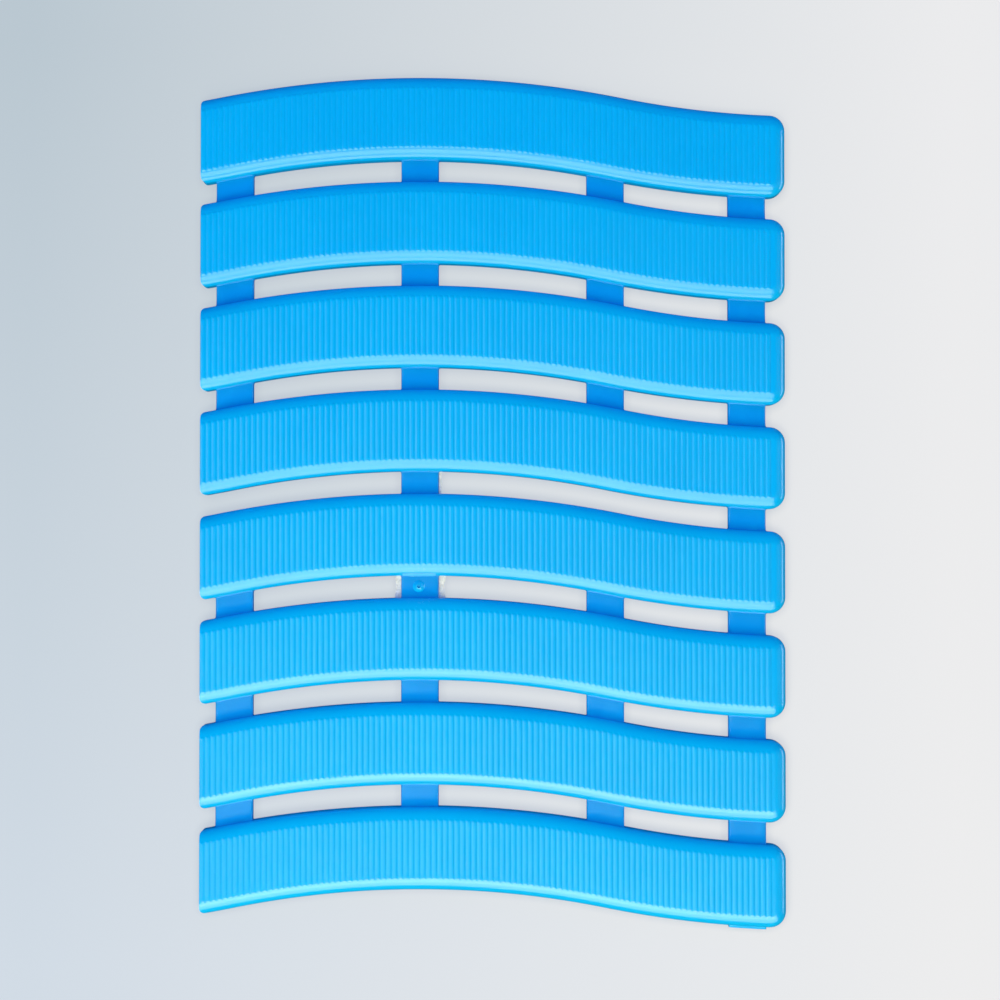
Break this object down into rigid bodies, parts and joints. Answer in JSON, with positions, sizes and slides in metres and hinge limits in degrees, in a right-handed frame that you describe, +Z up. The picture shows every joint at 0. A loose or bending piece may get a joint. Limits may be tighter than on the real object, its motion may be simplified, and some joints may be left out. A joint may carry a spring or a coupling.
{
  "type": "slatted wet-area floor mat",
  "caption": "Wavy slatted floor mat for wet areas: hollow ribbed plastic slats joined by short flexible webs, with open drainage gaps between them.",
  "frame": {"origin": "on the floor, under the middle of the mat's outline", "axes": "+X along the slats towards their ends with the larger corners; +Y across the slats towards slat_1; +Z up"},
  "size_m": [0.566, 0.825, 0.022],
  "materials": {
    "slat_plastic": "satin, soft moulded plastic, bright sky blue",
    "web_plastic": "satin, soft moulded plastic, the same blue as the slats"
  },
  "bodies": {
    "slat_1": {"slat_1": "slat_plastic"},
    "slat_2": {"slat_2": "slat_plastic", "web_1_left": "web_plastic", "web_1_crest": "web_plastic", "web_1_middle": "web_plastic", "web_1_right": "web_plastic"},
    "slat_3": {"slat_3": "slat_plastic", "web_2_left": "web_plastic", "web_2_crest": "web_plastic", "web_2_middle": "web_plastic", "web_2_right": "web_plastic"},
    "slat_4": {"slat_4": "slat_plastic", "web_3_left": "web_plastic", "web_3_crest": "web_plastic", "web_3_middle": "web_plastic", "web_3_right": "web_plastic", "web_4_crest": "web_plastic", "web_4_right": "web_plastic"},
    "slat_5": {"slat_5": "slat_plastic", "web_5_left": "web_plastic", "web_5_crest": "web_plastic", "web_5_middle": "web_plastic", "web_5_right": "web_plastic"},
    "slat_6": {"slat_6": "slat_plastic", "web_6_left": "web_plastic", "web_6_crest": "web_plastic", "web_6_middle": "web_plastic", "web_6_right": "web_plastic"},
    "slat_7": {"slat_7": "slat_plastic", "web_7_left": "web_plastic", "web_7_crest": "web_plastic", "web_7_middle": "web_plastic", "web_7_right": "web_plastic"},
    "slat_8": {"slat_8": "slat_plastic"}
  },
  "joints": [
    {"name": "flex_3", "type": "hinge", "parent": "slat_4", "child": "slat_3", "pos_m": [0, 0.1026, 0.007], "axis": [1, 0, 0], "range_deg": [-20, 20], "stiffness_Nm_per_rad": 6, "deforming": ["web_3_left", "web_3_crest", "web_3_middle", "web_3_right"]},
    {"name": "flex_2", "type": "hinge", "parent": "slat_3", "child": "slat_2", "pos_m": [0, 0.2036, 0.007], "axis": [1, 0, 0], "range_deg": [-20, 20], "stiffness_Nm_per_rad": 6, "deforming": ["web_2_left", "web_2_crest", "web_2_middle", "web_2_right"]},
    {"name": "flex_1", "type": "hinge", "parent": "slat_2", "child": "slat_1", "pos_m": [0, 0.3046, 0.007], "axis": [1, 0, 0], "range_deg": [-20, 20], "stiffness_Nm_per_rad": 6, "deforming": ["web_1_left", "web_1_crest", "web_1_middle", "web_1_right"]},
    {"name": "flex_4", "type": "hinge", "parent": "slat_4", "child": "slat_5", "pos_m": [0, 0.0014, 0.007], "axis": [-1, 0, 0], "range_deg": [-35, 35], "stiffness_Nm_per_rad": 3, "deforming": ["web_4_crest", "web_4_right"]},
    {"name": "flex_5", "type": "hinge", "parent": "slat_5", "child": "slat_6", "pos_m": [0, -0.0994, 0.007], "axis": [-1, 0, 0], "range_deg": [-20, 20], "stiffness_Nm_per_rad": 6, "deforming": ["web_5_left", "web_5_crest", "web_5_middle", "web_5_right"]},
    {"name": "flex_6", "type": "hinge", "parent": "slat_6", "child": "slat_7", "pos_m": [0, -0.2004, 0.007], "axis": [-1, 0, 0], "range_deg": [-20, 20], "stiffness_Nm_per_rad": 6, "deforming": ["web_6_left", "web_6_crest", "web_6_middle", "web_6_right"]},
    {"name": "flex_7", "type": "hinge", "parent": "slat_7", "child": "slat_8", "pos_m": [0, -0.3014, 0.007], "axis": [-1, 0, 0], "range_deg": [-20, 20], "stiffness_Nm_per_rad": 6, "deforming": ["web_7_left", "web_7_crest", "web_7_middle", "web_7_right"]}
  ]
}
